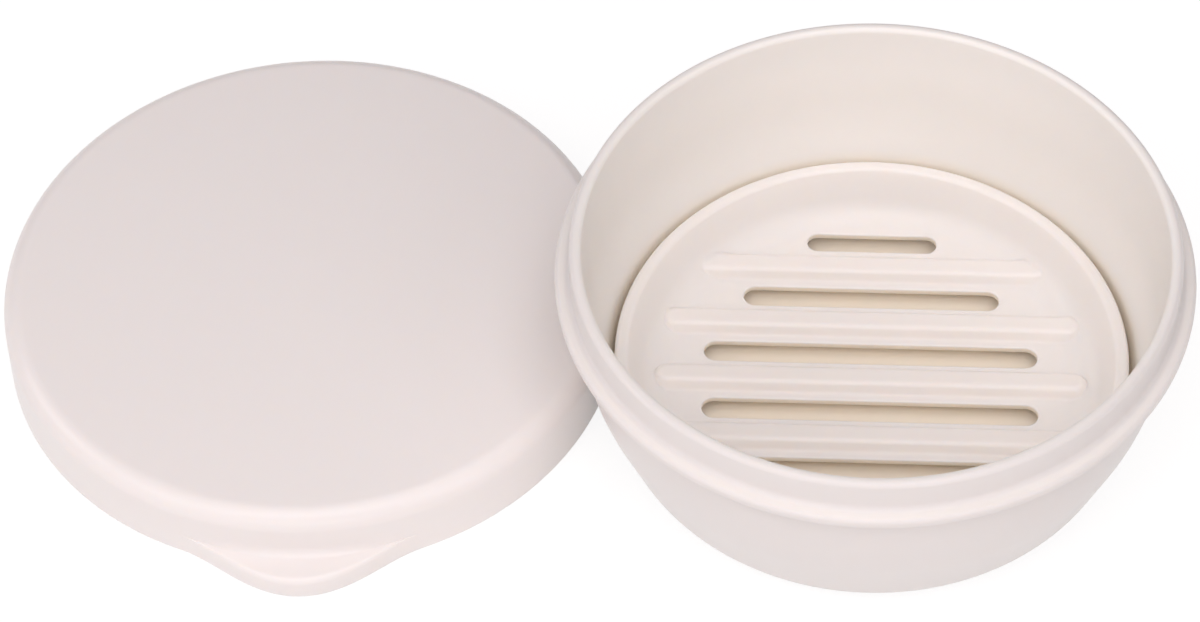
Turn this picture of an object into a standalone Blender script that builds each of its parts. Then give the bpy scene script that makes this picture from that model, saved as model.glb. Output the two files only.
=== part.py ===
"""Round soap dish with a lid: a flanged bowl, a slotted drain tray that drops into it, and a domed lid.

Lengths are in metres and +Z is up. The bowl stands on z = 0 with its axis on Z, and the tray's slots run
along X. The lid lies beside the bowl, on the same surface, with its pull tab towards -Y.
"""
import math

import bmesh
import bpy
from mathutils import Matrix, Vector

MM = 0.001

# Bowl
FLANGE_RADIUS = 54.0 * MM
SHOULDER_WIDTH = 2.15 * MM
FLANGE_OVERHANG = 3.7 * MM
FLANGE_THICKNESS = 2.4 * MM
FLANGE_TOP_RADIUS = 1.1 * MM
FLANGE_UNDER_RADIUS = 0.5 * MM
FLANGE_ROOT_RADIUS = 0.8 * MM
NECK_HEIGHT = 5.7 * MM
NECK_COVE_RADIUS = 1.05 * MM
RIM_THICKNESS = 2.45 * MM
RIM_EDGE_RADIUS = 1.15 * MM
BOWL_HEIGHT = 42.8 * MM
BOWL_WALL = 2.0 * MM
BOWL_FLOOR = 2.2 * MM
BOWL_TAPER = 7.8 * MM
BOWL_FOOT_CORNER = 8.0 * MM
BELLY_HEIGHT = 20.9 * MM
BELLY_RADIUS = 38.0 * MM

# Drain tray
TRAY_SIDE_GAP = 1.7 * MM
TRAY_DEPTH = 8.6 * MM
TRAY_THICKNESS = 1.6 * MM
TRAY_SLOPE_WIDTH = 3.7 * MM
TRAY_BEND_RADIUS = 6.0 * MM
BEAD_WIDTH = 2.2 * MM
BEAD_DEPTH = 2.0 * MM
BEAD_EDGE_RADIUS = 0.9 * MM
SLOT_LAND = 0.9 * MM
SLOT_CHAMFER = 0.35 * MM
SLOT_LENGTH_SHARES = (0.757, 0.585, 0.298)
SLOT_WIDTH_SHARES = (1.0, 0.92, 0.68)
RIB_HEIGHT = 1.9 * MM
RIB_WIDTH = 5.6 * MM
RIB_TOP_WIDTH = 3.4 * MM
RIB_EDGE_RADIUS = 0.4 * MM
RIB_LENGTH_SHARES = (0.98, 0.94, 0.77)
FOOT_HEIGHT = 1.9 * MM
FOOT_RADIUS = 2.4 * MM
FOOT_DRAFT = 0.4 * MM
FOOT_INSET = 4.6 * MM

# Lid
LID_HEIGHT = 15.2 * MM
LID_CROWN = 2.0 * MM
LID_EDGE_RADIUS = 7.0 * MM
LID_WALL = 1.8 * MM
LID_FIT_GAP = 0.35 * MM
LID_MOUTH_RADIUS = 0.4 * MM
CROWN_SHARES = (0.72, 0.5, 0.25)
TAB_WIDTH = 42.0 * MM
TAB_REACH = 6.0 * MM
TAB_HEIGHT = 5.6 * MM
TAB_SIDE_SHARES = (
    (1.0, 0.0),
    (1.0, 0.58),
    (0.96, 0.70),
    (0.86, 0.765),
    (0.66, 0.785),
    (0.40, 0.79),
    (0.20, 0.83),
    (0.07, 0.905),
    (0.0, 1.0),
)

# Places
SEAT_GAP = 0.3 * MM
LID_BEARING = math.radians(171.5)
TAB_BEARING = math.radians(-87.5)

# Facets
CHORD_ERROR = 0.1 * MM
BOWL_SIDES = 64
TRAY_SIDES = 64
LID_SIDES = 54
TAB_SIDES = 16
SLOT_END_SIDES = 8
FOOT_SIDES = 16
OVERRUN = 1.0 * MM

# Sizes that follow from the ones above
NECK_RADIUS = FLANGE_RADIUS - SHOULDER_WIDTH
SHOULDER_Z = BOWL_HEIGHT - NECK_HEIGHT
FLANGE_Z = SHOULDER_Z - FLANGE_THICKNESS
WALL_RADIUS = FLANGE_RADIUS - FLANGE_OVERHANG
BOWL_FOOT_RADIUS = WALL_RADIUS - BOWL_TAPER
RIM_INNER_RADIUS = NECK_RADIUS - RIM_THICKNESS
LID_INNER_RADIUS = NECK_RADIUS + LID_FIT_GAP
LID_RADIUS = LID_INNER_RADIUS + LID_WALL
TRAY_Z = BOWL_FLOOR + SEAT_GAP + FOOT_HEIGHT
TRAY_HEIGHT = TRAY_THICKNESS + TRAY_DEPTH


def wall_radius(height):
    """Returns the radius of the bowl's outer wall at a height, with its belly and foot taken as sharp."""
    if height >= BELLY_HEIGHT:
        return WALL_RADIUS
    return BOWL_FOOT_RADIUS + BOWL_TAPER * height / BELLY_HEIGHT


TRAY_RADIUS = wall_radius(TRAY_Z + TRAY_HEIGHT) - BOWL_WALL - TRAY_SIDE_GAP
TRAY_FLOOR_RADIUS = TRAY_RADIUS - BEAD_WIDTH - TRAY_SLOPE_WIDTH
SLOT_PITCH = TRAY_FLOOR_RADIUS / len(SLOT_LENGTH_SHARES)
SLOT_WIDTH = SLOT_PITCH - RIB_WIDTH - 2 * SLOT_LAND
FOOT_ROW_Y = 2 * SLOT_PITCH
FOOT_ROW_X = math.sqrt((TRAY_FLOOR_RADIUS - FOOT_INSET) ** 2 - FOOT_ROW_Y ** 2)


def rounded(outline):
    """Returns the points of an outline of (radius, height, corner radius), with its corners as arcs."""
    points = []
    for index, (across, up, radius) in enumerate(outline):
        corner = Vector((across, up))
        if not radius:
            points.append(corner)
            continue
        sides = []
        for near in (outline[index - 1], outline[index + 1]):
            side = Vector(near[:2]) - corner
            room = side.length / 2 if near[2] else side.length
            sides.append((side.normalized(), room))
        (before, room_before), (after, room_after) = sides
        half = before.angle(after) / 2
        reach = min(radius / math.tan(half), room_before, room_after)
        radius = reach * math.tan(half)
        turn = math.pi - 2 * half
        steps = max(2, math.ceil(turn / (2 * math.acos(1 - min(1, CHORD_ERROR / radius)))))
        centre = corner + (before + after).normalized() * radius / math.sin(half)
        start = corner + before * reach - centre
        if before.cross(after) > 0:
            turn = -turn
        for step in range(steps + 1):
            points.append(centre + Matrix.Rotation(turn * step / steps, 2) @ start)
    return points


def new_object(name, mesh_data, material=None):
    mesh = bpy.data.meshes.new(name)
    bmesh.ops.recalc_face_normals(mesh_data, faces=mesh_data.faces)
    mesh_data.to_mesh(mesh)
    mesh_data.free()
    mesh.shade_smooth()
    mesh.set_sharp_from_angle(angle=math.radians(40))
    piece = bpy.data.objects.new(name, mesh)
    bpy.context.scene.collection.objects.link(piece)
    if material:
        mesh.materials.append(material)
    return piece


def turned(points, angles, drawn=None):
    """Turns an outline, whose two ends lie on the axis, into a closed body of rings joined face to face.

    drawn, if given, returns a point's radius at an angle, for a body that isn't round all the way.
    """
    body = bmesh.new()
    rings = []
    for across, up in points:
        if across <= 0:
            rings.append([body.verts.new((0, 0, up))])
            continue
        ring = []
        for angle in angles:
            radius = drawn(across, up, angle) if drawn else across
            ring.append(body.verts.new((radius * math.cos(angle), radius * math.sin(angle), up)))
        rings.append(ring)
    count = len(angles)
    for low, high in zip(rings, rings[1:]):
        for index in range(count):
            after = (index + 1) % count
            if len(low) == 1:
                body.faces.new((low[0], high[after], high[index]))
            elif len(high) == 1:
                body.faces.new((low[index], low[after], high[0]))
            else:
                body.faces.new((low[index], low[after], high[after], high[index]))
    return body


def full_circle(sides):
    return [2 * math.pi * index / sides for index in range(sides)]


def stadium(length, width):
    """Returns the points of a slot's outline, long in X, with half-round ends."""
    points = []
    for side in (1, -1):
        for step in range(SLOT_END_SIDES + 1):
            angle = math.pi * (step / SLOT_END_SIDES - 0.5)
            across = (length - width) / 2 + width / 2 * math.cos(angle)
            points.append(Vector((side * across, side * width / 2 * math.sin(angle))))
    return points


def add_loft(body, centre, levels):
    """Adds a closed body through outlines of equally many points, each given with its height."""
    rings = []
    for outline, up in levels:
        rings.append([body.verts.new((centre[0] + x, centre[1] + y, up)) for x, y in outline])
    body.faces.new(list(reversed(rings[0])))
    body.faces.new(rings[-1])
    for low, high in zip(rings, rings[1:]):
        for index in range(len(low)):
            after = (index + 1) % len(low)
            body.faces.new((low[index], low[after], high[after], high[index]))


def plastic(name, colour, roughness):
    material = bpy.data.materials.new(name)
    material.use_nodes = True
    shader = material.node_tree.nodes["Principled BSDF"]
    shader.inputs["Base Color"].default_value = (*colour, 1.0)
    shader.inputs["Roughness"].default_value = roughness
    shader.inputs["Metallic"].default_value = 0.0
    return material


def hidden_tool(name, mesh_data):
    tool = new_object(name, mesh_data)
    tool.hide_render = True
    tool.display_type = "WIRE"
    return tool


def combine(piece, tool, operation):
    change = piece.modifiers.new(tool.name, "BOOLEAN")
    change.operation = operation
    change.solver = "EXACT"
    change.object = tool


def make_bowl():
    """The bowl: a drafted wall with a belly, a flange that the lid sits on, and a neck that it fits over."""
    outline = [
        (0, 0, 0),
        (BOWL_FOOT_RADIUS, 0, BOWL_FOOT_CORNER),
        (WALL_RADIUS, BELLY_HEIGHT, BELLY_RADIUS),
        (WALL_RADIUS, FLANGE_Z, FLANGE_ROOT_RADIUS),
        (FLANGE_RADIUS, FLANGE_Z, FLANGE_UNDER_RADIUS),
        (FLANGE_RADIUS, SHOULDER_Z, FLANGE_TOP_RADIUS),
        (NECK_RADIUS, SHOULDER_Z, NECK_COVE_RADIUS),
        (NECK_RADIUS, BOWL_HEIGHT, RIM_EDGE_RADIUS),
        (RIM_INNER_RADIUS, BOWL_HEIGHT, RIM_EDGE_RADIUS),
        (WALL_RADIUS - BOWL_WALL, BELLY_HEIGHT, BELLY_RADIUS),
        (wall_radius(BOWL_FLOOR) - BOWL_WALL, BOWL_FLOOR, BOWL_FOOT_CORNER - BOWL_WALL),
        (0, BOWL_FLOOR, 0),
    ]
    body = turned(rounded(outline), full_circle(BOWL_SIDES))
    return new_object("bowl", body, plastic("bowl_plastic", (0.84, 0.76, 0.71), 0.3))


def tray_plate():
    """The tray's dished plate, from its underside out to the bead round its rim and back to its middle."""
    lean = TRAY_SLOPE_WIDTH / TRAY_DEPTH
    skin = TRAY_THICKNESS * math.hypot(1, lean)
    bead_under = TRAY_HEIGHT - BEAD_DEPTH
    outline = [
        (0, 0, 0),
        (TRAY_FLOOR_RADIUS - TRAY_THICKNESS * lean + skin, 0, TRAY_BEND_RADIUS + TRAY_THICKNESS),
        (TRAY_FLOOR_RADIUS + (bead_under - TRAY_THICKNESS) * lean + skin, bead_under, 0),
        (TRAY_RADIUS, bead_under, BEAD_EDGE_RADIUS),
        (TRAY_RADIUS, TRAY_HEIGHT, BEAD_EDGE_RADIUS),
        (TRAY_RADIUS - BEAD_WIDTH, TRAY_HEIGHT, BEAD_EDGE_RADIUS),
        (TRAY_FLOOR_RADIUS, TRAY_THICKNESS, TRAY_BEND_RADIUS),
        (0, TRAY_THICKNESS, 0),
    ]
    return turned(rounded(outline), full_circle(TRAY_SIDES))


def slot_cutters():
    """Six round-ended slots with broken upper edges: three lengths, the longest beside the middle."""
    body = bmesh.new()
    for row, (length_share, width_share) in enumerate(zip(SLOT_LENGTH_SHARES, SLOT_WIDTH_SHARES)):
        length = length_share * 2 * TRAY_FLOOR_RADIUS
        width = width_share * SLOT_WIDTH
        throat = stadium(length, width)
        mouth = stadium(length + 3 * SLOT_CHAMFER, width + 3 * SLOT_CHAMFER)
        levels = [
            (throat, -OVERRUN),
            (throat, TRAY_THICKNESS - SLOT_CHAMFER),
            (mouth, TRAY_THICKNESS + SLOT_CHAMFER / 2),
            (mouth, TRAY_THICKNESS + OVERRUN),
        ]
        for side in (1, -1):
            add_loft(body, (0, side * (row + 0.5) * SLOT_PITCH), levels)
    return body


def ribs_and_feet():
    """Raised ribs with sloping sides between the slots, and four short feet under the outer ribs."""
    body = bmesh.new()
    root = TRAY_THICKNESS / 2
    top = TRAY_THICKNESS + RIB_HEIGHT
    taper = RIB_WIDTH - RIB_TOP_WIDTH
    flare = taper * (TRAY_THICKNESS - root) / (RIB_HEIGHT - RIB_EDGE_RADIUS)
    for row in range(-2, 3):
        length = RIB_LENGTH_SHARES[abs(row)] * 2 * TRAY_FLOOR_RADIUS
        levels = [
            (stadium(length + flare, RIB_WIDTH + flare), root),
            (stadium(length - taper, RIB_TOP_WIDTH), top - RIB_EDGE_RADIUS),
            (stadium(length - taper - 2 * RIB_EDGE_RADIUS, RIB_TOP_WIDTH - 2 * RIB_EDGE_RADIUS), top),
        ]
        add_loft(body, (0, row * SLOT_PITCH), levels)
    for x_side in (1, -1):
        for y_side in (1, -1):
            centre = (x_side * FOOT_ROW_X, y_side * FOOT_ROW_Y)
            levels = []
            for radius, up in ((FOOT_RADIUS - FOOT_DRAFT, -FOOT_HEIGHT), (FOOT_RADIUS, root)):
                circle = [(radius * math.cos(a), radius * math.sin(a)) for a in full_circle(FOOT_SIDES)]
                levels.append((circle, up))
            add_loft(body, centre, levels)
    return body


def make_tray():
    """The drain tray, which lifts straight out of the bowl."""
    tray = new_object("drain_tray", tray_plate(), plastic("tray_plastic", (0.86, 0.78, 0.72), 0.34))
    ribs = hidden_tool("tray_ribs", ribs_and_feet())
    slots = hidden_tool("tray_slots", slot_cutters())
    combine(tray, ribs, "UNION")
    combine(tray, slots, "DIFFERENCE")
    for piece in (tray, ribs, slots):
        piece.location = (0, 0, TRAY_Z)
    return tray


def tab_share(up):
    """How much of the tab's reach its side has at a height, between the points of its profile."""
    for (reach, low), (next_reach, high) in zip(TAB_SIDE_SHARES, TAB_SIDE_SHARES[1:]):
        if up <= high * TAB_HEIGHT:
            climb = (up / TAB_HEIGHT - low) / (high - low)
            return reach + (next_reach - reach) * climb
    return 0


def tab_radius(across, up, angle):
    """Draws the skirt's outer side out into a pull tab, bell-shaped in plan and nearly flat on top."""
    away = math.remainder(angle - TAB_BEARING, 2 * math.pi)
    half_span = math.asin(TAB_WIDTH / 2 / LID_RADIUS)
    if across < LID_INNER_RADIUS + LID_WALL / 2 or abs(away) >= half_span:
        return across
    bell = (1 + math.cos(math.pi * away / half_span)) / 2
    return across + TAB_REACH * bell * tab_share(up)


def lid_angles():
    """The lid's directions: close together across the tab, and wider apart round the rest."""
    half_span = math.asin(TAB_WIDTH / 2 / LID_RADIUS)
    rest = 2 * math.pi - 2 * half_span
    angles = [TAB_BEARING + half_span * (2 * step / TAB_SIDES - 1) for step in range(TAB_SIDES)]
    angles += [TAB_BEARING + half_span + rest * step / LID_SIDES for step in range(LID_SIDES)]
    return angles


def crown(radius, top):
    """The points of the lid's shallow dome, from its edge to its middle."""
    points = [(share * radius, top - LID_CROWN * share ** 2, 0) for share in CROWN_SHARES]
    return points + [(0, top, 0)]


def make_lid():
    """The lid: a skirt that drops over the bowl's neck, a well-rounded edge and a nearly flat dome."""
    ceiling = LID_HEIGHT - LID_WALL
    inside = [
        *reversed(crown(LID_INNER_RADIUS, ceiling)),
        (LID_INNER_RADIUS, ceiling - LID_CROWN, LID_EDGE_RADIUS - LID_WALL),
        (LID_INNER_RADIUS, 0, LID_MOUTH_RADIUS),
    ]
    skirt = [(LID_RADIUS, level * TAB_HEIGHT, 0) for reach, level in TAB_SIDE_SHARES[1:]]
    outside = [
        (LID_RADIUS, 0, LID_MOUTH_RADIUS),
        *skirt,
        (LID_RADIUS, LID_HEIGHT - LID_CROWN, LID_EDGE_RADIUS),
        *crown(LID_RADIUS, LID_HEIGHT),
    ]
    body = turned(rounded(inside + outside), lid_angles(), tab_radius)
    lid = new_object("lid", body, plastic("lid_plastic", (0.84, 0.77, 0.74), 0.26))
    away = lid_distance()
    lid.location = (away * math.cos(LID_BEARING), away * math.sin(LID_BEARING), 0)
    return lid


def lid_distance():
    """How far the lid's middle lies from the bowl's axis, with a seat gap where its edge is nearest the wall."""
    lean = math.atan2(BOWL_TAPER, BELLY_HEIGHT)
    edge_start = LID_HEIGHT - LID_CROWN - LID_EDGE_RADIUS
    nearest_z = edge_start + LID_EDGE_RADIUS * math.sin(lean)
    nearest_radius = LID_RADIUS - LID_EDGE_RADIUS * (1 - math.cos(lean))
    return nearest_radius + wall_radius(nearest_z) + SEAT_GAP


def main():
    for piece in list(bpy.data.objects):
        bpy.data.objects.remove(piece)
    make_bowl()
    make_tray()
    make_lid()


main()
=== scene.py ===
"""The looks of the round soap dish: smooth warm-white plastic in soft studio light, on a white floor."""
import math

import bmesh
import bpy
import numpy as np
from mathutils import Matrix, Vector
from mathutils.geometry import delaunay_2d_cdt


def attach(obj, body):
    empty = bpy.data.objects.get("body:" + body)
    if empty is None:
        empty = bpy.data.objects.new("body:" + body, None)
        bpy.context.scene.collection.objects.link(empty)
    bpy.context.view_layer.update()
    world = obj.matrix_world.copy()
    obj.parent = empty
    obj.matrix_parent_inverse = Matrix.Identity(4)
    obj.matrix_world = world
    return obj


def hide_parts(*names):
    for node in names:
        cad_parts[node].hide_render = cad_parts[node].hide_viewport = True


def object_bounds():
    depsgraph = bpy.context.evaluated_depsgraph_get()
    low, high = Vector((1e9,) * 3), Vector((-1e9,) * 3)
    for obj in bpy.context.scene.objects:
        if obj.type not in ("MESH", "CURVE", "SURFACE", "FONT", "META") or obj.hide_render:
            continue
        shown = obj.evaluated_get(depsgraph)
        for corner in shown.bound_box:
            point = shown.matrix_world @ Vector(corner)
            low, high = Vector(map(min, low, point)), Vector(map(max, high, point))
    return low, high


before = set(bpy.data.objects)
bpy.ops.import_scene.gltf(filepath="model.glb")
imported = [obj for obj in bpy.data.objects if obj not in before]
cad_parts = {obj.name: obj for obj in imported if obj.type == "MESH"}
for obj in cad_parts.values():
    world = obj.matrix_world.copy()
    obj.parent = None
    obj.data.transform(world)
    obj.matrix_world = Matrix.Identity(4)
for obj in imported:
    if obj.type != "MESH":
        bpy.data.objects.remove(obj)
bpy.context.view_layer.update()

MM = 0.001

# The photograph's view, moved sideways so that the lid and the bowl both fit in
CAMERA_AZIMUTH = math.radians(4.12)
CAMERA_ELEVATION = math.radians(49.85)
CAMERA_ROLL = math.radians(-1.74)
CAMERA_DISTANCE = 800 * MM
CAMERA_LENS_MM = 136.2
CAMERA_SENSOR_MM = 36.0
CAMERA_TARGET = Vector((-47.67, 14.7, 6.0)) * MM

# The room. The floor glows, as seen by the camera or in the gloss, so that it shows white
FLOOR_SIZE = 6.0
FLOOR_DROP = 0.05 * MM
FLOOR_COLOUR = (0.88, 0.87, 0.86)
FLOOR_GLOW = 1.12
FLOOR_GLOW_SHARE = 0.75
LIGHT_COLOUR = (1.0, 0.95, 0.965)
WORLD_STRENGTH = 0.29

# The soft boxes, each by its name, place, size and power, and the point that they face
SOFTBOXES = (
    ("top", (0.05, -0.15, 1.3), (1.1, 0.7), 3.95),
    ("front", (0.0, -0.7, 1.08), (1.2, 0.5), 4.95),
    ("front_left", (-0.8, -0.7, 0.7), (0.7, 0.6), 1.9),
    ("front_right", (0.8, -0.7, 0.7), (0.7, 0.6), 1.9),
    ("front_low", (0.0, -1.15, 0.3), (1.2, 0.3), 2.0),
    ("left", (-1.15, 0.05, 0.6), (0.6, 0.6), 2.2),
)
SOFTBOX_AIM = (-45 * MM, 10 * MM, 10 * MM)

# Each plastic's colour at a painted-light share of 0, which is outside or on top and is the plastic's own
# colour, at 0.5, and at 1, which is deep down.
# The colours at 0.5 and 1 are painted warm bounce light: warmer, and mostly lighter, inside the dish, in the
# slots and underneath.
BOWL_COLOUR_AND_PAINTED_BOUNCE = ((0.80, 0.767, 0.745), (0.92, 0.892, 0.85), (1.0, 0.905, 0.775))
TRAY_COLOUR_AND_PAINTED_BOUNCE = ((0.905, 0.862, 0.825), (0.93, 0.835, 0.72), (0.985, 0.90, 0.795))
LID_COLOUR_AND_PAINTED_BOUNCE = ((0.865, 0.823, 0.80), (0.865, 0.823, 0.795), (0.865, 0.82, 0.78))

# Each plastic's roughness, the share of its light that spreads under the surface, and how far it spreads
BOWL_FINISH = (0.36, 0.3, 1.2 * MM)
TRAY_FINISH = (0.36, 0.55, 2.0 * MM)
LID_FINISH = (0.32, 0.4, 1.6 * MM)
SPREAD_BY_COLOUR = (1.0, 0.85, 0.7)
PLASTIC_IOR = 1.49
MOTTLE_SCALE = 38.0
MOTTLE_DETAIL = 3.0
MOTTLE_DEPTH = 0.01
GLOSS_CHANGE = 0.02

# How steep the tray's surface is where its painted warm bounce light starts, how far it leans over where
# that painted light is full, and how much of that painted light its rim loses
PAINTED_BOUNCE_SLOPE = 0.35
PAINTED_BOUNCE_LEAN = 0.5
PAINTED_BOUNCE_RIM_LOSS = 0.6

# Bowl
FLANGE_RADIUS = 54.0 * MM
SHOULDER_WIDTH = 2.55 * MM
FLANGE_OVERHANG = 3.7 * MM
FLANGE_THICKNESS = 1.9 * MM
FLANGE_TOP_RADIUS = 0.75 * MM
FLANGE_UNDER_RADIUS = 0.5 * MM
FLANGE_ROOT_RADIUS = 0.8 * MM
NECK_HEIGHT = 6.2 * MM
NECK_COVE_RADIUS = 1.05 * MM
RIM_THICKNESS = 2.05 * MM
RIM_EDGE_RADIUS = 0.95 * MM
BOWL_HEIGHT = 42.8 * MM
BOWL_WALL = 2.0 * MM
BOWL_FLOOR = 2.2 * MM
BOWL_TAPER = 7.8 * MM
BOWL_FOOT_CORNER = 8.0 * MM
BELLY_HEIGHT = 20.9 * MM
BELLY_RADIUS = 38.0 * MM

# Drain tray
TRAY_SIDE_GAP = 1.7 * MM
TRAY_DEPTH = 8.6 * MM
TRAY_THICKNESS = 1.6 * MM
TRAY_SLOPE_WIDTH = 3.7 * MM
TRAY_BEND_RADIUS = 6.0 * MM
BEAD_WIDTH = 2.2 * MM
BEAD_DEPTH = 2.0 * MM
BEAD_EDGE_RADIUS = 0.9 * MM
SLOT_LAND = 1.4 * MM
SLOT_LENGTH_SHARES = (0.757, 0.585, 0.298)
SLOT_WIDTH_SHARES = (1.0, 0.98, 0.88)
SLOT_TOP_EDGE = 0.3 * MM
SLOT_UNDER_EDGE = 0.8 * MM
RIB_HEIGHT = 1.9 * MM
RIB_WIDTH = 5.6 * MM
RIB_TOP_WIDTH = 3.4 * MM
RIB_EDGE_RADIUS = 1.3 * MM
RIB_ROOT_RADIUS = 0.9 * MM
RIB_LENGTH_SHARES = (0.99, 0.965, 0.82)
FOOT_HEIGHT = 1.9 * MM
FOOT_RADIUS = 2.4 * MM
FOOT_DRAFT = 0.4 * MM
FOOT_INSET = 4.6 * MM

# Lid
LID_HEIGHT = 15.2 * MM
LID_CROWN = 2.0 * MM
LID_EDGE_RADIUS = 7.0 * MM
LID_WALL = 1.8 * MM
LID_FIT_GAP = 0.75 * MM
LID_MOUTH_RADIUS = 0.4 * MM
TAB_WIDTH = 42.0 * MM
TAB_REACH = 6.0 * MM
TAB_TOP = 4.42 * MM
TAB_EDGE_RADIUS = 1.15 * MM
TAB_ROOT_RADIUS = 1.6 * MM

# Places
SEAT_GAP = 0.3 * MM
LID_BEARING = math.radians(171.5)
TAB_BEARING = math.radians(-87.5)

# Fineness
CHORD_ERROR = 0.004 * MM
SLOPE_CHORD = 0.0001 * MM
LONGEST_STEP = 1.5 * MM
EDGE_STEP = 0.12 * MM
EDGE_ROWS = 6
LONG_RUN = 4 * EDGE_STEP
SLOPE_STEP = EDGE_STEP / 10
SIDES = 256
FOOT_SIDES = SIDES // 8
TAB_STEPS = 64
CROWN_STEPS = 16
END_STEPS = 20
RUN_STEP = 1.2 * MM
RING_STEP = 0.4 * MM
BLEND_POWER = 8
SLOPE_CUT = 1.15 * MM
SEAM = 0.001 * MM
LEAST_RISE = 1e-9
PLAN_TOLERANCE = 1e-4
RIB_MIDDLE = RIB_WIDTH / 24
RIB_EDGE = RIB_WIDTH / 2 + RIB_ROOT_RADIUS / 2

# Sizes that follow from the ones above
NECK_RADIUS = FLANGE_RADIUS - SHOULDER_WIDTH
SHOULDER_Z = BOWL_HEIGHT - NECK_HEIGHT
FLANGE_Z = SHOULDER_Z - FLANGE_THICKNESS
WALL_RADIUS = FLANGE_RADIUS - FLANGE_OVERHANG
BOWL_FOOT_RADIUS = WALL_RADIUS - BOWL_TAPER
RIM_INNER_RADIUS = NECK_RADIUS - RIM_THICKNESS
LID_INNER_RADIUS = NECK_RADIUS + LID_FIT_GAP
LID_RADIUS = LID_INNER_RADIUS + LID_WALL
TRAY_Z = BOWL_FLOOR + SEAT_GAP + FOOT_HEIGHT
TRAY_HEIGHT = TRAY_THICKNESS + TRAY_DEPTH


def wall_radius(height):
    """Returns the radius of the bowl's outer wall at a height, with its belly and foot taken as sharp."""
    if height >= BELLY_HEIGHT:
        return WALL_RADIUS
    return BOWL_FOOT_RADIUS + BOWL_TAPER * height / BELLY_HEIGHT


TRAY_RADIUS = wall_radius(TRAY_Z + TRAY_HEIGHT) - BOWL_WALL - TRAY_SIDE_GAP
TRAY_FLOOR_RADIUS = TRAY_RADIUS - BEAD_WIDTH - TRAY_SLOPE_WIDTH
SLOT_PITCH = TRAY_FLOOR_RADIUS / len(SLOT_LENGTH_SHARES)
SLOT_WIDTH = SLOT_PITCH - RIB_WIDTH - 2 * SLOT_LAND
OUTER_RIB = len(RIB_LENGTH_SHARES) - 1
FOOT_ROW_Y = OUTER_RIB * SLOT_PITCH
FOOT_ROW_X = math.sqrt((TRAY_FLOOR_RADIUS - FOOT_INSET) ** 2 - FOOT_ROW_Y ** 2)
SPLIT_RADIUS = TRAY_FLOOR_RADIUS + SLOPE_CUT
SUMP_TOP = BOWL_FLOOR + BOWL_FOOT_CORNER / 4


def rounded(outline, chord_error=CHORD_ERROR):
    """Returns the points of an outline of (radius, height, corner radius), with its corners as arcs."""
    points = []
    for index, (across, up, radius) in enumerate(outline):
        corner = Vector((across, up))
        if not radius:
            points.append(corner)
            continue
        sides = []
        for near in (outline[index - 1], outline[index + 1]):
            side = Vector(near[:2]) - corner
            room = side.length / 2 if near[2] else side.length
            sides.append((side.normalized(), room))
        (before, room_before), (after, room_after) = sides
        half = before.angle(after) / 2
        reach = min(radius / math.tan(half), room_before, room_after)
        radius = reach * math.tan(half)
        turn = math.pi - 2 * half
        steps = max(2, math.ceil(turn / (2 * math.acos(1 - min(1, chord_error / radius)))))
        centre = corner + (before + after).normalized() * radius / math.sin(half)
        start = corner + before * reach - centre
        if before.cross(after) > 0:
            turn = -turn
        for step in range(steps + 1):
            points.append(centre + Matrix.Rotation(turn * step / steps, 2) @ start)
    return points


def stepped(points):
    """Adds points along an outline's straight runs, close beside its bends, so that it shades evenly."""
    out = [points[0]]
    for start, end in zip(points, points[1:]):
        run = end - start
        length = run.length
        if length > LONG_RUN:
            inner = length - 2 * EDGE_STEP
            count = max(1, math.ceil(inner / LONGEST_STEP))
            marks = [EDGE_STEP + inner * step / count for step in range(count + 1)]
            out += [start + run * (mark / length) for mark in marks]
        if length:
            out.append(end)
    return out


def turned(points, angles, drawn=None):
    """Turns an outline, whose two ends lie on the axis, into a closed body of rings joined face to face.

    drawn, if given, returns a point's radius from its place in the outline and its angle.
    """
    body = bmesh.new()
    rings = []
    for place, (across, up) in enumerate(points):
        if across <= 0:
            rings.append([body.verts.new((0, 0, up))])
            continue
        ring = []
        for angle in angles:
            radius = drawn(place, across, angle) if drawn else across
            ring.append(body.verts.new((radius * math.cos(angle), radius * math.sin(angle), up)))
        rings.append(ring)
    for low, high in zip(rings, rings[1:]):
        join_rings(body, low, high)
    return body


def join_rings(body, low, high):
    """Joins two rings of equally many points by faces, or a ring and a single point."""
    count = max(len(low), len(high))
    for index in range(count):
        after = (index + 1) % count
        if len(low) == 1:
            body.faces.new((low[0], high[after], high[index]))
        elif len(high) == 1:
            body.faces.new((low[index], low[after], high[0]))
        else:
            body.faces.new((low[index], low[after], high[after], high[index]))


def full_circle(sides):
    """The angles of evenly spaced points round a circle."""
    return [2 * math.pi * index / sides for index in range(sides)]


def finished(name, body, node, rider, material, place, painted_bounce_of):
    """Makes a piece of a body, puts it where its node is, and lets it stand for that node.

    The last argument returns how deep in the dish a point lies, from 0 outside to 1, from its place and
    direction: its share of the warm bounce light painted into its colour.
    """
    mesh = bpy.data.meshes.new(name)
    bmesh.ops.recalc_face_normals(body, faces=body.faces)
    body.to_mesh(mesh)
    body.free()
    mesh.shade_smooth()
    # Each point's share of painted warm bounce light, which the material's colour ramp reads
    painted_bounce = mesh.attributes.new("painted_bounce", "FLOAT", "POINT")
    painted_bounce_values = [painted_bounce_of(vertex.co, vertex.normal) for vertex in mesh.vertices]
    painted_bounce.data.foreach_set("value", painted_bounce_values)
    mesh.transform(Matrix.Translation(place))
    mesh.materials.append(material)
    piece = bpy.data.objects.new(name, mesh)
    bpy.context.scene.collection.objects.link(piece)
    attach(piece, rider)
    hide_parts(node)
    return piece


def clamped(value):
    """The value, kept between 0 and 1."""
    return min(1.0, max(0.0, value))


def outward(point, normal):
    """How far a point's surface looks away from the axis, from -1 to 1."""
    across = math.hypot(point.x, point.y)
    return (point.x * normal.x + point.y * normal.y) / across if across else 0


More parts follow.
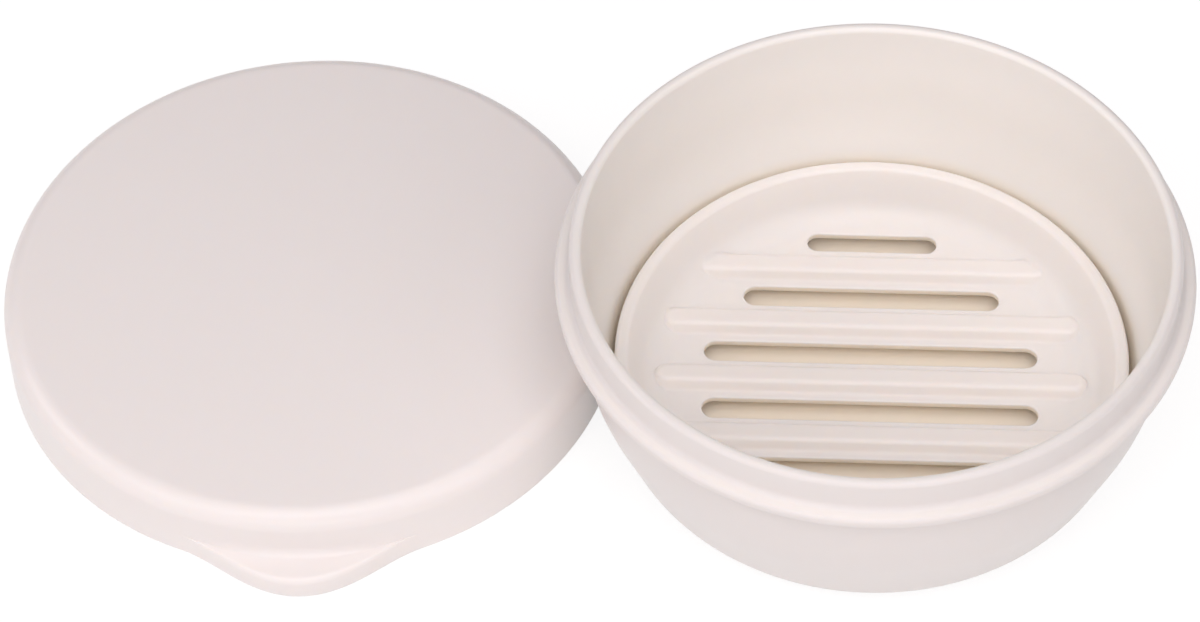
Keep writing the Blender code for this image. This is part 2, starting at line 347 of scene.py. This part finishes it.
def bowl_painted_bounce(point, normal):
    """Painted warm bounce light on the bowl: outside 0, inside 0.5, and the floor and the inner wall beside
    the tray 1.
    """
    if normal.z > 0 and point.z < SUMP_TOP:
        return 1
    if normal.z > 0 and point.z < BOWL_HEIGHT / 2:
        beside = clamped((TRAY_Z + TRAY_HEIGHT - point.z) / BEAD_DEPTH)
        return 0.5 + beside * clamped(-2 * outward(point, normal)) / 2
    return clamped(0.5 - outward(point, normal)) / 2


def tray_painted_bounce(point, normal):
    """Painted warm bounce light on the tray: the upper face 0, the slots' sides 0.5 and the underside 1, but
    less round the rim.
    """
    depth = clamped(1 - normal.z / PAINTED_BOUNCE_SLOPE) / 2 + clamped(-normal.z / PAINTED_BOUNCE_LEAN) / 2
    rim = clamped((math.hypot(point.x, point.y) - TRAY_FLOOR_RADIUS) / TRAY_SLOPE_WIDTH)
    return depth * (1 - PAINTED_BOUNCE_RIM_LOSS * rim)


def lid_painted_bounce(point, normal):
    """Painted warm bounce light on the lid: outside 0, and the hollow underneath 1."""
    return clamped(-normal.z)


def make_bowl():
    """The bowl: a drafted wall with a belly, a flange that the lid sits on, and a neck under the lid."""
    outline = [
        (0, 0, 0),
        (BOWL_FOOT_RADIUS, 0, BOWL_FOOT_CORNER),
        (WALL_RADIUS, BELLY_HEIGHT, BELLY_RADIUS),
        (WALL_RADIUS, FLANGE_Z, FLANGE_ROOT_RADIUS),
        (FLANGE_RADIUS, FLANGE_Z, FLANGE_UNDER_RADIUS),
        (FLANGE_RADIUS, SHOULDER_Z, FLANGE_TOP_RADIUS),
        (NECK_RADIUS, SHOULDER_Z, NECK_COVE_RADIUS),
        (NECK_RADIUS, BOWL_HEIGHT, RIM_EDGE_RADIUS),
        (RIM_INNER_RADIUS, BOWL_HEIGHT, RIM_EDGE_RADIUS),
        (WALL_RADIUS - BOWL_WALL, BELLY_HEIGHT, BELLY_RADIUS),
        (wall_radius(BOWL_FLOOR) - BOWL_WALL, BOWL_FLOOR, BOWL_FOOT_CORNER - BOWL_WALL),
        (0, BOWL_FLOOR, 0),
    ]
    body = turned(stepped(rounded(outline)), full_circle(SIDES))
    material = plastic("bowl_plastic_fine", BOWL_COLOUR_AND_PAINTED_BOUNCE, BOWL_FINISH)
    finished("bowl_fine", body, "bowl", "bowl", material, (0, 0, 0), bowl_painted_bounce)


def crown(radius, top):
    """The lid's shallow dome, from its edge to its middle, as points of an outline."""
    shares = [1 - step / CROWN_STEPS for step in range(1, CROWN_STEPS + 1)]
    return [(share * radius, top - LID_CROWN * share ** 2, 0) for share in shares]


def lid_distance():
    """How far the lid's middle lies from the bowl's axis, so that its edge just clears the bowl's wall."""
    lean = math.atan2(BOWL_TAPER, BELLY_HEIGHT)
    edge_start = LID_HEIGHT - LID_CROWN - LID_EDGE_RADIUS
    nearest_z = edge_start + LID_EDGE_RADIUS * math.sin(lean)
    nearest_radius = LID_RADIUS - LID_EDGE_RADIUS * (1 - math.cos(lean))
    return nearest_radius + wall_radius(nearest_z) + SEAT_GAP


def make_lid():
    """The lid: a skirt that drops over the bowl's neck, a round edge, a nearly flat dome and a tab."""
    ceiling = LID_HEIGHT - LID_WALL
    inside = [
        *reversed(crown(LID_INNER_RADIUS, ceiling)),
        (LID_INNER_RADIUS, ceiling - LID_CROWN, LID_EDGE_RADIUS - LID_WALL),
        (LID_INNER_RADIUS, 0, LID_MOUTH_RADIUS),
    ]
    outside = [
        (LID_RADIUS, 0, LID_MOUTH_RADIUS),
        (LID_RADIUS, LID_HEIGHT - LID_CROWN, LID_EDGE_RADIUS),
        *crown(LID_RADIUS, LID_HEIGHT),
    ]
    whole = stepped(rounded(inside + outside))
    edge_start = LID_HEIGHT - LID_CROWN - LID_EDGE_RADIUS
    tab_side = stepped(rounded([
        (TAB_REACH, LID_MOUTH_RADIUS, 0),
        (TAB_REACH, TAB_TOP, TAB_EDGE_RADIUS),
        (0, TAB_TOP, TAB_ROOT_RADIUS),
        (0, edge_start, 0),
    ]))
    skirt_start = next(place for place, (across, up) in enumerate(whole) if across > LID_RADIUS - SEAM)
    lower = whole[:skirt_start]
    upper = [point for point in whole[skirt_start:] if point[1] > edge_start + SEAM]
    points = [*lower, *((LID_RADIUS, up) for reach, up in tab_side), *upper]
    reaches = [TAB_REACH] * len(lower) + [reach for reach, up in tab_side] + [0] * len(upper)
    half_span = math.asin(TAB_WIDTH / 2 / LID_RADIUS)

    def drawn(place, across, angle):
        away = math.remainder(angle - TAB_BEARING, 2 * math.pi)
        if across < LID_INNER_RADIUS + LID_WALL / 2 or abs(away) >= half_span:
            return across
        bell = (1 + math.cos(math.pi * away / half_span)) / 2
        return across + bell * reaches[place]

    rest = 2 * math.pi - 2 * half_span
    angles = [TAB_BEARING + half_span * (2 * step / TAB_STEPS - 1) for step in range(TAB_STEPS)]
    angles += [TAB_BEARING + half_span + rest * step / SIDES for step in range(SIDES)]
    away = lid_distance()
    place = (away * math.cos(LID_BEARING), away * math.sin(LID_BEARING), 0)
    material = plastic("lid_plastic_fine", LID_COLOUR_AND_PAINTED_BOUNCE, LID_FINISH)
    body = turned(points, angles, drawn)
    finished("lid_fine", body, "lid", "lid", material, place, lid_painted_bounce)


def track(row_y, half_run, radius):
    """The points of a closed line round a slot or rib, at a distance from its middle line."""
    points = []
    runs = max(1, math.ceil(2 * half_run / RUN_STEP))
    for side in (1, -1):
        for step in range(END_STEPS + 1):
            angle = math.pi * (step / END_STEPS - 0.5)
            across = side * (half_run + radius * math.cos(angle))
            points.append((across, row_y + side * radius * math.sin(angle)))
        for step in range(1, runs):
            points.append((side * half_run * (1 - 2 * step / runs), row_y + side * radius))
    return points


def track_distance(x, y, row_y, half_run):
    """How far points lie from the middle line of a slot or rib."""
    return np.hypot(np.maximum(np.abs(x) - half_run, 0), y - row_y)


def slots():
    """Each slot's row, half the run of its middle line, and half its width."""
    for row, (length_share, width_share) in enumerate(zip(SLOT_LENGTH_SHARES, SLOT_WIDTH_SHARES)):
        width = width_share * SLOT_WIDTH
        half_run = length_share * TRAY_FLOOR_RADIUS - width / 2
        for side in (1, -1):
            yield side * (row + 0.5) * SLOT_PITCH, half_run, width / 2


def ribs():
    """Each rib's row and half the run of its middle line."""
    for row in range(-OUTER_RIB, OUTER_RIB + 1):
        yield row * SLOT_PITCH, RIB_LENGTH_SHARES[abs(row)] * TRAY_FLOOR_RADIUS - RIB_WIDTH / 2


def edge_fall(distance, radius):
    """How far a rounded edge falls away at a distance from the slot's side."""
    return radius - np.sqrt(radius ** 2 - np.clip(radius - distance, 0, radius) ** 2)


def rib_side(chord_error):
    """The rib's cross-section, from its middle out: soft upper edges and a fillet at its root."""
    outline = [
        (0, RIB_HEIGHT, 0),
        (RIB_TOP_WIDTH / 2, RIB_HEIGHT, RIB_EDGE_RADIUS),
        (RIB_WIDTH / 2, 0, RIB_ROOT_RADIUS),
        (RIB_WIDTH, 0, 0),
    ]
    return rounded(outline, chord_error)


class TrayFace:
    """The upper or lower face of the tray's middle, as heights over a plan."""

    def __init__(self, outline, edge, ribbed):
        self.radii = [point[0] for point in outline]
        self.heights = [point[1] for point in outline]
        self.edge = edge
        self.ribbed = ribbed

    def height(self, x, y):
        plate = np.interp(np.hypot(x, y), self.radii, self.heights)
        if self.ribbed:
            section = rib_side(SLOPE_CHORD)
            rise = np.maximum(plate - TRAY_THICKNESS, 0)
            for row_y, half_run in ribs():
                distance = track_distance(x, y, row_y, half_run)
                rib = np.interp(distance, [p[0] for p in section], [p[1] for p in section])
                top = np.maximum(np.maximum(rise, rib), LEAST_RISE)
                both = (rise / top) ** BLEND_POWER + (rib / top) ** BLEND_POWER
                rise = top * both ** (1 / BLEND_POWER)
            plate = TRAY_THICKNESS + rise
        fall = 0
        for row_y, half_run, half_width in slots():
            distance = track_distance(x, y, row_y, half_run) - half_width
            fall = np.maximum(fall, edge_fall(np.maximum(distance, 0), self.edge))
        return plate - fall if self.ribbed else plate + fall

    def lines(self):
        """Closed lines that the face's mesh follows: every slot's rolled edge and every rib's section."""
        for row_y, half_run, half_width in slots():
            for step in range(EDGE_ROWS + 1):
                out = self.edge * (1 - math.cos(math.pi / 2 * step / EDGE_ROWS))
                yield track(row_y, half_run, half_width + out), step == 0
        if self.ribbed:
            for row_y, half_run in ribs():
                for point in stepped(rib_side(CHORD_ERROR)):
                    if RIB_MIDDLE < point[0] < RIB_EDGE:
                        yield track(row_y, half_run, point[0]), False


def face_mesh(face):
    """Meshes a tray face over its plan. Returns its points, its faces, and its rim's and slots' rings."""
    flat = [(SPLIT_RADIUS * math.cos(a), SPLIT_RADIUS * math.sin(a)) for a in full_circle(SIDES)]
    edges = [(index, (index + 1) % SIDES) for index in range(SIDES)]
    rings = [list(range(SIDES))]
    for line, is_slot in face.lines():
        places = []
        for point in line:
            inside = math.hypot(*point) < SPLIT_RADIUS - RING_STEP / 2
            places.append(len(flat) if inside else None)
            if inside:
                flat.append(point)
        for start, end in zip(places, places[1:] + places[:1]):
            if start is not None and end is not None:
                edges.append((start, end))
        if is_slot:
            rings.append(places)
    count = math.ceil(TRAY_BEND_RADIUS / RING_STEP)
    for radius in [SPLIT_RADIUS - RING_STEP * step for step in range(1, count + 1)]:
        for angle in full_circle(SIDES):
            x, y = radius * math.cos(angle), radius * math.sin(angle)
            if all(track_distance(x, y, row_y, half_run) > half_width + face.edge + EDGE_STEP
                   for row_y, half_run, half_width in slots()):
                flat.append((x, y))
    scaled = [Vector(point) / MM for point in flat]
    points, _, faces, origins, _, _ = delaunay_2d_cdt(scaled, edges, [], 0, PLAN_TOLERANCE)
    found = {source: index for index, sources in enumerate(origins) for source in sources}
    rings = [[found[index] for index in ring] for ring in rings]
    holes = [set(ring) for ring in rings[1:]]
    faces = [corners for corners in faces if not any(hole.issuperset(corners) for hole in holes)]
    return np.array([tuple(point) for point in points]) * MM, faces, rings


def face_normals(face, plan, rings):
    """Where a tray face's points look, from the slope of its heights, and level at its slots' sides."""
    x, y = plan[:, 0], plan[:, 1]
    slope_x = (face.height(x + SLOPE_STEP, y) - face.height(x - SLOPE_STEP, y)) / (2 * SLOPE_STEP)
    slope_y = (face.height(x, y + SLOPE_STEP) - face.height(x, y - SLOPE_STEP)) / (2 * SLOPE_STEP)
    normals = np.stack([-slope_x, -slope_y, np.ones(len(plan))], axis=1)
    if not face.ribbed:
        normals = -normals
    for ring, (row_y, half_run, _) in zip(rings[1:], slots()):
        inward_x = np.clip(x[ring], -half_run, half_run) - x[ring]
        normals[ring] = np.stack([inward_x, row_y - y[ring], np.zeros(len(ring))], axis=1)
    return normals / np.linalg.norm(normals, axis=1)[:, None]


def add_foot(body, centre):
    """A short tapered foot with a softened end, its root inside the plate."""
    outline = [
        (0, -FOOT_HEIGHT, 0),
        (FOOT_RADIUS - FOOT_DRAFT, -FOOT_HEIGHT, FOOT_DRAFT),
        (FOOT_RADIUS, TRAY_THICKNESS / 2, 0),
        (0, TRAY_THICKNESS / 2, 0),
    ]
    rings = []
    for across, up in stepped(rounded(outline)):
        round_it = full_circle(FOOT_SIDES) if across > 0 else [0]
        rings.append([
            body.verts.new((centre[0] + across * math.cos(a), centre[1] + across * math.sin(a), up))
            for a in round_it
        ])
    for low, high in zip(rings, rings[1:]):
        join_rings(body, low, high)


def make_tray():
    """The drain tray: a dished plate with soft ribs, rolled slot edges and a bead round its rim."""
    lean = TRAY_SLOPE_WIDTH / TRAY_DEPTH
    skin = TRAY_THICKNESS * math.hypot(1, lean)
    bead_under = TRAY_HEIGHT - BEAD_DEPTH
    under_bend = (TRAY_FLOOR_RADIUS - TRAY_THICKNESS * lean + skin, 0, TRAY_BEND_RADIUS + TRAY_THICKNESS)
    under_end = (TRAY_FLOOR_RADIUS + (bead_under - TRAY_THICKNESS) * lean + skin, bead_under, 0)
    bend = (TRAY_FLOOR_RADIUS, TRAY_THICKNESS, TRAY_BEND_RADIUS)
    slope_end = (TRAY_RADIUS - BEAD_WIDTH, TRAY_HEIGHT, 0)
    upper = TrayFace(rounded([(0, TRAY_THICKNESS, 0), bend, slope_end], SLOPE_CHORD), SLOT_TOP_EDGE, True)
    under = TrayFace(rounded([(0, 0, 0), under_bend, under_end], SLOPE_CHORD), SLOT_UNDER_EDGE, False)

    body = bmesh.new()
    normals = []
    sides = []
    for face in (upper, under):
        plan, faces, rings = face_mesh(face)
        heights = face.height(plan[:, 0], plan[:, 1])
        points = [body.verts.new((x, y, z)) for (x, y), z in zip(plan, heights)]
        for corners in faces:
            body.faces.new([points[corner] for corner in corners])
        normals.append(face_normals(face, plan, rings))
        sides.append([[points[index] for index in ring] for ring in rings])
    for upper_ring, under_ring in zip(sides[0][1:], sides[1][1:]):
        join_rings(body, under_ring, upper_ring)

    outline = stepped(rounded([
        (0, TRAY_THICKNESS, 0),
        bend,
        (TRAY_RADIUS - BEAD_WIDTH, TRAY_HEIGHT, BEAD_EDGE_RADIUS),
        (TRAY_RADIUS, TRAY_HEIGHT, BEAD_EDGE_RADIUS),
        (TRAY_RADIUS, bead_under, BEAD_EDGE_RADIUS),
        under_end,
        under_bend,
        (0, 0, 0),
    ]))
    before = sides[0][0]
    for across, up in outline:
        if across > SPLIT_RADIUS + EDGE_STEP / 2:
            ring = [
                body.verts.new((across * math.cos(a), across * math.sin(a), up))
                for a in full_circle(SIDES)
            ]
            join_rings(body, before, ring)
            before = ring
    join_rings(body, before, sides[1][0])
    for x_side in (1, -1):
        for y_side in (1, -1):
            add_foot(body, (x_side * FOOT_ROW_X, y_side * FOOT_ROW_Y))
    material = plastic("tray_plastic_fine", TRAY_COLOUR_AND_PAINTED_BOUNCE, TRAY_FINISH)
    place = (0, 0, TRAY_Z)
    piece = finished("drain_tray_fine", body, "drain_tray", "tray", material, place, tray_painted_bounce)
    known = np.concatenate(normals)
    every = np.array([tuple(vector.vector) for vector in piece.data.vertex_normals])
    every[:len(known)] = known
    piece.data.normals_split_custom_set_from_vertices([tuple(vector) for vector in every])


def add_camera():
    """A long lens above and in front of the dish, rolled a little, as the photograph is."""
    back = Vector((
        math.sin(CAMERA_AZIMUTH) * math.cos(CAMERA_ELEVATION),
        -math.cos(CAMERA_AZIMUTH) * math.cos(CAMERA_ELEVATION),
        math.sin(CAMERA_ELEVATION),
    ))
    level = Vector((math.cos(CAMERA_AZIMUTH), math.sin(CAMERA_AZIMUTH), 0))
    upright = back.cross(level)
    right = level * math.cos(CAMERA_ROLL) + upright * math.sin(CAMERA_ROLL)
    up = back.cross(right)
    data = bpy.data.cameras.new("view")
    data.sensor_width = CAMERA_SENSOR_MM
    data.lens = CAMERA_LENS_MM
    camera = bpy.data.objects.new("view", data)
    camera.matrix_world = Matrix((right, up, back)).transposed().to_4x4()
    camera.location = CAMERA_TARGET + back * CAMERA_DISTANCE
    bpy.context.scene.collection.objects.link(camera)
    bpy.context.scene.camera = camera


def plastic(name, colour_and_painted_bounce, finish):
    """Smooth moulded plastic, with warm bounce light painted into its colour where each point's share says
    so, and a faint mottle in its colour and gloss.
    """
    roughness, milk, spread = finish
    material = bpy.data.materials.new(name)
    material.use_nodes = True
    nodes = material.node_tree.nodes
    links = material.node_tree.links
    shader = nodes["Principled BSDF"]
    place = nodes.new("ShaderNodeTexCoord")

    painted_bounce = nodes.new("ShaderNodeAttribute")
    painted_bounce.attribute_name = "painted_bounce"
    # The ramp paints warm bounce light into the colour, by each point's share of it
    painted_bounce_ramp = nodes.new("ShaderNodeValToRGB")
    painted_bounce_ramp.color_ramp.elements.new(0.5)
    for stop, colour in zip(painted_bounce_ramp.color_ramp.elements, colour_and_painted_bounce):
        stop.color = (*colour, 1.0)
    links.new(painted_bounce.outputs["Fac"], painted_bounce_ramp.inputs["Fac"])

    mottle = nodes.new("ShaderNodeTexNoise")
    mottle.inputs["Scale"].default_value = MOTTLE_SCALE
    mottle.inputs["Detail"].default_value = MOTTLE_DETAIL
    links.new(place.outputs["Object"], mottle.inputs["Vector"])
    depth = nodes.new("ShaderNodeMapRange")
    depth.inputs["To Min"].default_value = 1 - MOTTLE_DEPTH
    depth.inputs["To Max"].default_value = 1.0
    links.new(mottle.outputs["Fac"], depth.inputs["Value"])
    tint = nodes.new("ShaderNodeMix")
    tint.data_type = "RGBA"
    tint.blend_type = "MULTIPLY"
    tint.inputs["Factor"].default_value = 1.0
    links.new(painted_bounce_ramp.outputs["Color"], tint.inputs["A"])
    links.new(depth.outputs["Result"], tint.inputs["B"])
    links.new(tint.outputs["Result"], shader.inputs["Base Color"])

    gloss = nodes.new("ShaderNodeMapRange")
    gloss.inputs["To Min"].default_value = roughness - GLOSS_CHANGE
    gloss.inputs["To Max"].default_value = roughness + GLOSS_CHANGE
    links.new(mottle.outputs["Fac"], gloss.inputs["Value"])
    links.new(gloss.outputs["Result"], shader.inputs["Roughness"])

    shader.inputs["IOR"].default_value = PLASTIC_IOR
    shader.inputs["Subsurface Weight"].default_value = milk
    shader.inputs["Subsurface Radius"].default_value = SPREAD_BY_COLOUR
    shader.inputs["Subsurface Scale"].default_value = spread
    return material


def add_floor():
    """A white floor that shows white to the camera and keeps the dish's soft shadow."""
    mesh = bpy.data.meshes.new("floor")
    half = FLOOR_SIZE / 2
    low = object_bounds()[0][2] - FLOOR_DROP
    corners = [(-half, -half, low), (half, -half, low), (half, half, low), (-half, half, low)]
    mesh.from_pydata(corners, [], [(0, 1, 2, 3)])
    floor = bpy.data.objects.new("floor", mesh)
    bpy.context.scene.collection.objects.link(floor)
    material = bpy.data.materials.new("floor_white")
    material.use_nodes = True
    nodes = material.node_tree.nodes
    links = material.node_tree.links
    nodes.clear()
    matt = nodes.new("ShaderNodeBsdfDiffuse")
    matt.inputs["Color"].default_value = (*FLOOR_COLOUR, 1.0)
    glow = nodes.new("ShaderNodeEmission")
    glow.inputs["Strength"].default_value = FLOOR_GLOW
    seen = nodes.new("ShaderNodeLightPath")
    either = nodes.new("ShaderNodeMath")
    either.operation = "MAXIMUM"
    links.new(seen.outputs["Is Camera Ray"], either.inputs[0])
    links.new(seen.outputs["Is Glossy Ray"], either.inputs[1])
    share = nodes.new("ShaderNodeMath")
    share.operation = "MULTIPLY"
    share.inputs[1].default_value = FLOOR_GLOW_SHARE
    links.new(either.outputs[0], share.inputs[0])
    mix = nodes.new("ShaderNodeMixShader")
    links.new(share.outputs[0], mix.inputs["Fac"])
    links.new(matt.outputs["BSDF"], mix.inputs[1])
    links.new(glow.outputs["Emission"], mix.inputs[2])
    output = nodes.new("ShaderNodeOutputMaterial")
    links.new(mix.outputs["Shader"], output.inputs["Surface"])
    mesh.materials.append(material)


def add_world():
    """A plain pale surround, which the camera sees as white."""
    world = bpy.data.worlds.new("surround")
    bpy.context.scene.world = world
    world.use_nodes = True
    nodes = world.node_tree.nodes
    links = world.node_tree.links
    lit = nodes["Background"]
    lit.inputs["Color"].default_value = (*LIGHT_COLOUR, 1.0)
    lit.inputs["Strength"].default_value = WORLD_STRENGTH
    white = nodes.new("ShaderNodeBackground")
    white.inputs["Color"].default_value = (1.0, 1.0, 1.0, 1.0)
    white.inputs["Strength"].default_value = 1.0
    seen = nodes.new("ShaderNodeLightPath")
    mix = nodes.new("ShaderNodeMixShader")
    links.new(seen.outputs["Is Camera Ray"], mix.inputs["Fac"])
    links.new(lit.outputs["Background"], mix.inputs[1])
    links.new(white.outputs["Background"], mix.inputs[2])
    links.new(mix.outputs["Shader"], nodes["World Output"].inputs["Surface"])


def add_softboxes():
    """Soft boxes above, in front and to the left, which all face the dish."""
    for name, place, size, power in SOFTBOXES:
        data = bpy.data.lights.new(name, "AREA")
        data.shape = "RECTANGLE"
        data.size, data.size_y = size
        data.energy = power
        data.color = LIGHT_COLOUR
        lamp = bpy.data.objects.new(name, data)
        lamp.location = place
        lamp.rotation_mode = "QUATERNION"
        lamp.rotation_quaternion = (Vector(place) - Vector(SOFTBOX_AIM)).to_track_quat("Z", "Y")
        bpy.context.scene.collection.objects.link(lamp)


bpy.context.scene.view_settings.view_transform = "Standard"
make_bowl()
make_tray()
make_lid()
add_floor()
add_world()
add_softboxes()
add_camera()
